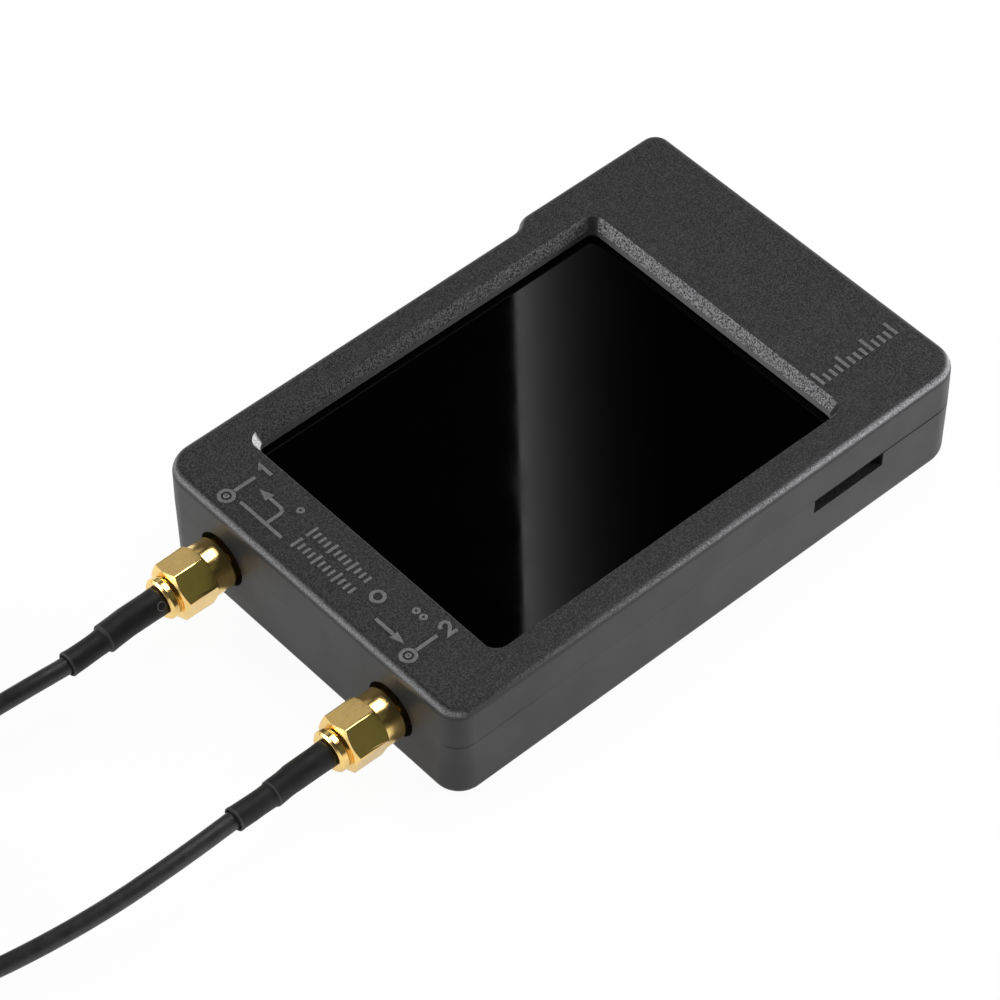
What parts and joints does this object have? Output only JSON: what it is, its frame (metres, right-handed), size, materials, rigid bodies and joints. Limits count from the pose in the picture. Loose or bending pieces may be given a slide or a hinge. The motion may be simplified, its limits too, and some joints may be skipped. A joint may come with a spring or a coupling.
{
  "type": "antenna analyzer",
  "caption": "Hand-held antenna analyzer: flat moulded housing with a touch display, two coaxial ports on one end, each with a screwed-on test cable, and side controls.",
  "frame": {"origin": "middle of the housing's flat underside", "axes": "+X along the housing away from the coaxial ports, +Y towards the side with the controls, +Z out of the display"},
  "size_m": [0.1829, 0.1111, 0.0177],
  "materials": {
    "housing_plastic": "fine spark-eroded texture",
    "screen_glass": "polished, black from behind",
    "display_housing": "smooth",
    "foam": "soft closed-cell",
    "flex_film": "thin polyimide film",
    "circuit_board": "solder mask",
    "chip_black": "moulded",
    "tinned_sheet": "tinned",
    "steel": "zinc plated",
    "nickel": "nickel plated",
    "gold_plate": "gold plated, turned",
    "white_insulator": "smooth",
    "port_insulator": "smooth",
    "spring_bronze": "bare",
    "heat_shrink": "shrunk sleeve, semi-gloss",
    "cable_jacket": "smooth jacket, slight sheen",
    "battery_foil": "pouch foil",
    "adhesive_tape": "double-sided tape",
    "lead_insulation": "silicone insulation",
    "connector_white": "moulded",
    "switch_black": "moulded"
  },
  "bodies": {
    "housing": {"upper_shell": "housing_plastic", "lower_shell": "housing_plastic", "case_screws": "steel", "touch_panel": "screen_glass", "display_panel": "display_housing", "display_gasket": "foam", "display_pads": "foam", "display_flex": "flex_film", "main_board": "circuit_board", "shield_cans": "tinned_sheet", "board_chips": "chip_black", "card_socket": "tinned_sheet", "battery_cell": "battery_foil", "battery_tape": "adhesive_tape", "battery_connector": "connector_white", "battery_leads": "lead_insulation", "usb_shell_metal": "nickel", "usb_tongue": "switch_black", "power_switch_frame": "tinned_sheet", "jog_switch_frame": "tinned_sheet", "port_one_jack": "gold_plate", "port_one_insulator": "port_insulator", "port_one_contact": "gold_plate", "port_two_jack": "gold_plate", "port_two_insulator": "port_insulator", "port_two_contact": "gold_plate"},
    "power_knob": {"power_knob": "switch_black"},
    "jog_slider": {"jog_slider": "switch_black"},
    "jog_lever": {"jog_lever": "switch_black"},
    "cable_one": {"cable_one_near_plug": "gold_plate", "cable_one_near_heat_shrink": "heat_shrink", "cable_one_far_plug": "gold_plate", "cable_one_far_heat_shrink": "heat_shrink", "cable_one_snap_rings": "spring_bronze", "cable_one_insulators": "white_insulator", "cable_one_pins": "gold_plate", "cable_one_ferrules": "nickel", "cable_one": "cable_jacket", "cable_one_coil": "cable_jacket", "cable_one_tail": "cable_jacket"},
    "near_nut_one": {"cable_one_near_nut": "gold_plate"},
    "far_nut_one": {"cable_one_far_nut": "gold_plate"},
    "cable_two": {"cable_two_near_plug": "gold_plate", "cable_two_near_heat_shrink": "heat_shrink", "cable_two_far_plug": "gold_plate", "cable_two_far_heat_shrink": "heat_shrink", "cable_two_snap_rings": "spring_bronze", "cable_two_insulators": "white_insulator", "cable_two_pins": "gold_plate", "cable_two_ferrules": "nickel", "cable_two": "cable_jacket", "cable_two_coil": "cable_jacket", "cable_two_tail": "cable_jacket"},
    "near_nut_two": {"cable_two_near_nut": "gold_plate"},
    "far_nut_two": {"cable_two_far_nut": "gold_plate"}
  },
  "joints": [
    {"name": "power_slide", "type": "slide", "parent": "housing", "child": "power_knob", "axis": [1, 0, 0], "range_m": [0, 0.002]},
    {"name": "jog_press", "type": "slide", "parent": "housing", "child": "jog_slider", "axis": [0, -1, 0], "range_m": [0, 0.0004], "stiffness_N_per_m": 500, "springref_m": -0.0002},
    {"name": "jog_swing", "type": "hinge", "parent": "jog_slider", "child": "jog_lever", "pos_m": [0.033, 0.0226, 0.00975], "axis": [0, 0, 1], "range_deg": [-10, 10], "stiffness_Nm_per_rad": 0.02},
    {"name": "cable_one_pull", "type": "slide", "parent": "housing", "child": "cable_one", "axis": [-1, 0, 0], "range_m": [0, 0.0054]},
    {"name": "near_nut_one_turn", "type": "hinge", "parent": "cable_one", "child": "near_nut_one", "pos_m": [-0.0499, 0.017, 0.00865], "axis": [-1, 0, 0], "range_deg": [0, 2756]},
    {"name": "far_nut_one_turn", "type": "hinge", "parent": "cable_one", "child": "far_nut_one", "pos_m": [-0.08402, 0.07646, 0.0038], "axis": [0.5534, 0.8329, 0], "continuous": true},
    {"name": "cable_two_pull", "type": "slide", "parent": "housing", "child": "cable_two", "axis": [-1, 0, 0], "range_m": [0, 0.0054]},
    {"name": "near_nut_two_turn", "type": "hinge", "parent": "cable_two", "child": "near_nut_two", "pos_m": [-0.0499, -0.017, 0.00865], "axis": [-1, 0, 0], "range_deg": [0, 2756]},
    {"name": "far_nut_two_turn", "type": "hinge", "parent": "cable_two", "child": "far_nut_two", "pos_m": [-0.13257, 0.04299, 0.0038], "axis": [-0.1045, 0.9945, 0], "continuous": true}
  ],
  "couplings": [
    {"joint": "near_nut_one_turn", "follows": "cable_one_pull", "rad_per_m": 8904.6},
    {"joint": "near_nut_two_turn", "follows": "cable_two_pull", "rad_per_m": 8904.6}
  ]
}
